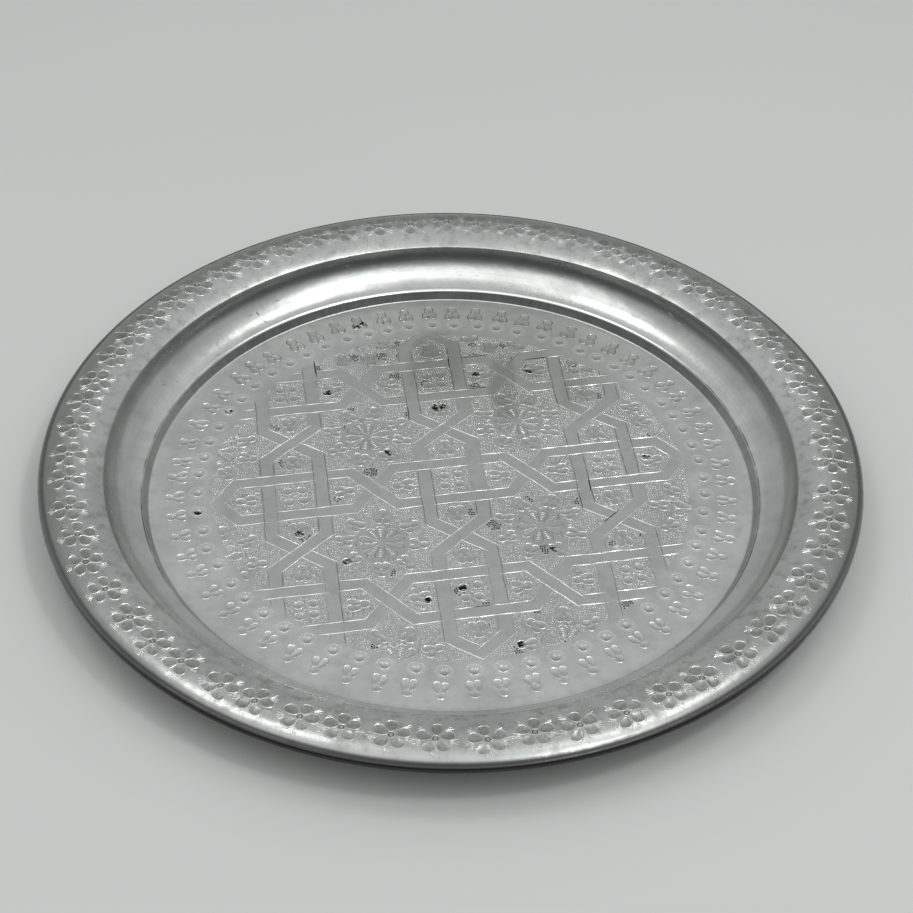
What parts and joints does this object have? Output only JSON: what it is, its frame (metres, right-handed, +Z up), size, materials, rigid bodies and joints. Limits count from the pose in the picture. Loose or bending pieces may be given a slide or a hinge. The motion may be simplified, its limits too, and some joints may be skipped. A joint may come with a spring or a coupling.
{
  "type": "round serving tray",
  "caption": "Round spun metal serving tray with a flat floor, stepped cove, domed rim and wired rolled edge, for carrying and serving food and glasses.",
  "frame": {"origin": "on the axis of the tray, in the plane that its floor rests on", "axes": "+Z up along the axis of the tray; X and Y across it, alike"},
  "size_m": [0.38, 0.38, 0.0255],
  "materials": {
    "tray_metal": "satin, worn, chased by hand",
    "wire_metal": "drawn wire"
  },
  "bodies": {
    "root": {"tray_sheet": "tray_metal", "rim_wire": "wire_metal"}
  },
  "joints": []
}
